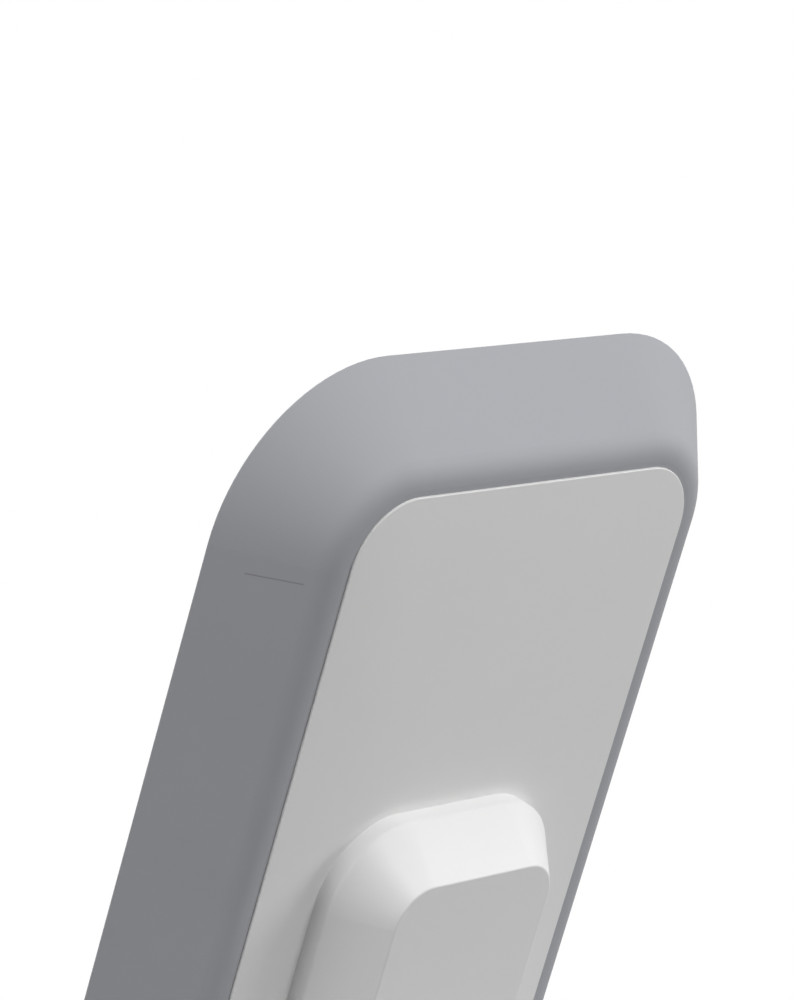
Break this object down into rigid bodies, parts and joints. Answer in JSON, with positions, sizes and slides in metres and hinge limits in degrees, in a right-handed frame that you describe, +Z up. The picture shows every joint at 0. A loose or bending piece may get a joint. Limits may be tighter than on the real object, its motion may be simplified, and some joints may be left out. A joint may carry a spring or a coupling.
{
  "type": "wireless charging stand",
  "caption": "Upright wireless charging stand: a grey pad with rounded corners leans back on the chamfered arm of a flat white base, with a lipped ledge for the device.",
  "frame": {"origin": "on the ground under the middle of the base", "axes": "+Z up, the charging face looks towards -Y, +X to the right of someone who faces the charging face"},
  "size_m": [0.0816, 0.09, 0.1392],
  "materials": {
    "shell_grey": "fine satin moulding",
    "face_grey": "fine satin moulding",
    "white_plastic": "smooth satin moulding",
    "cover_white": "fine spark texture",
    "grip_rubber": "matt silicone",
    "foot_rubber": "matt",
    "tray_plastic": "matt",
    "ferrite": "matt pressed ferrite",
    "copper": "enamelled copper wire",
    "aluminium": "rolled sheet",
    "ballast_steel": "rolled bar",
    "screw_steel": "plated",
    "board_green": "solder mask",
    "chip_black": "moulded",
    "inductor_grey": "pressed powder",
    "capacitor_film": "dipped",
    "lamp_clear": "clear",
    "guide_clear": "clear",
    "inlet_steel": "nickel plated",
    "tongue_plastic": "moulded",
    "plug_plastic": "moulded",
    "lead_jacket": "smooth jacket"
  },
  "bodies": {
    "root": {"pad_shell": "shell_grey", "rear_plate": "white_plastic", "front_cover": "face_grey", "face_grip": "grip_rubber", "ledge_grip": "grip_rubber", "coil_tray": "tray_plastic", "ferrite_upper": "ferrite", "ferrite_lower": "ferrite", "coil_upper": "copper", "coil_lower": "copper", "heat_spreader": "aluminium", "tray_screws": "screw_steel", "cover_screws": "screw_steel", "arm_screws": "screw_steel", "stand_shell": "white_plastic", "base_cover": "cover_white", "foot_front_left": "foot_rubber", "foot_front_right": "foot_rubber", "foot_rear_left": "foot_rubber", "foot_rear_right": "foot_rubber", "ballast_left": "ballast_steel", "ballast_right": "ballast_steel", "control_board": "board_green", "board_inductor": "inductor_grey", "lead_plug": "plug_plastic", "status_led": "lamp_clear", "board_chips": "chip_black", "board_capacitors": "capacitor_film", "light_guide": "guide_clear", "inlet_socket": "inlet_steel", "inlet_tongue": "tongue_plastic", "coil_plug": "plug_plastic", "inner_lead": "lead_jacket", "board_screws": "screw_steel", "base_screws": "screw_steel"}
  },
  "joints": []
}
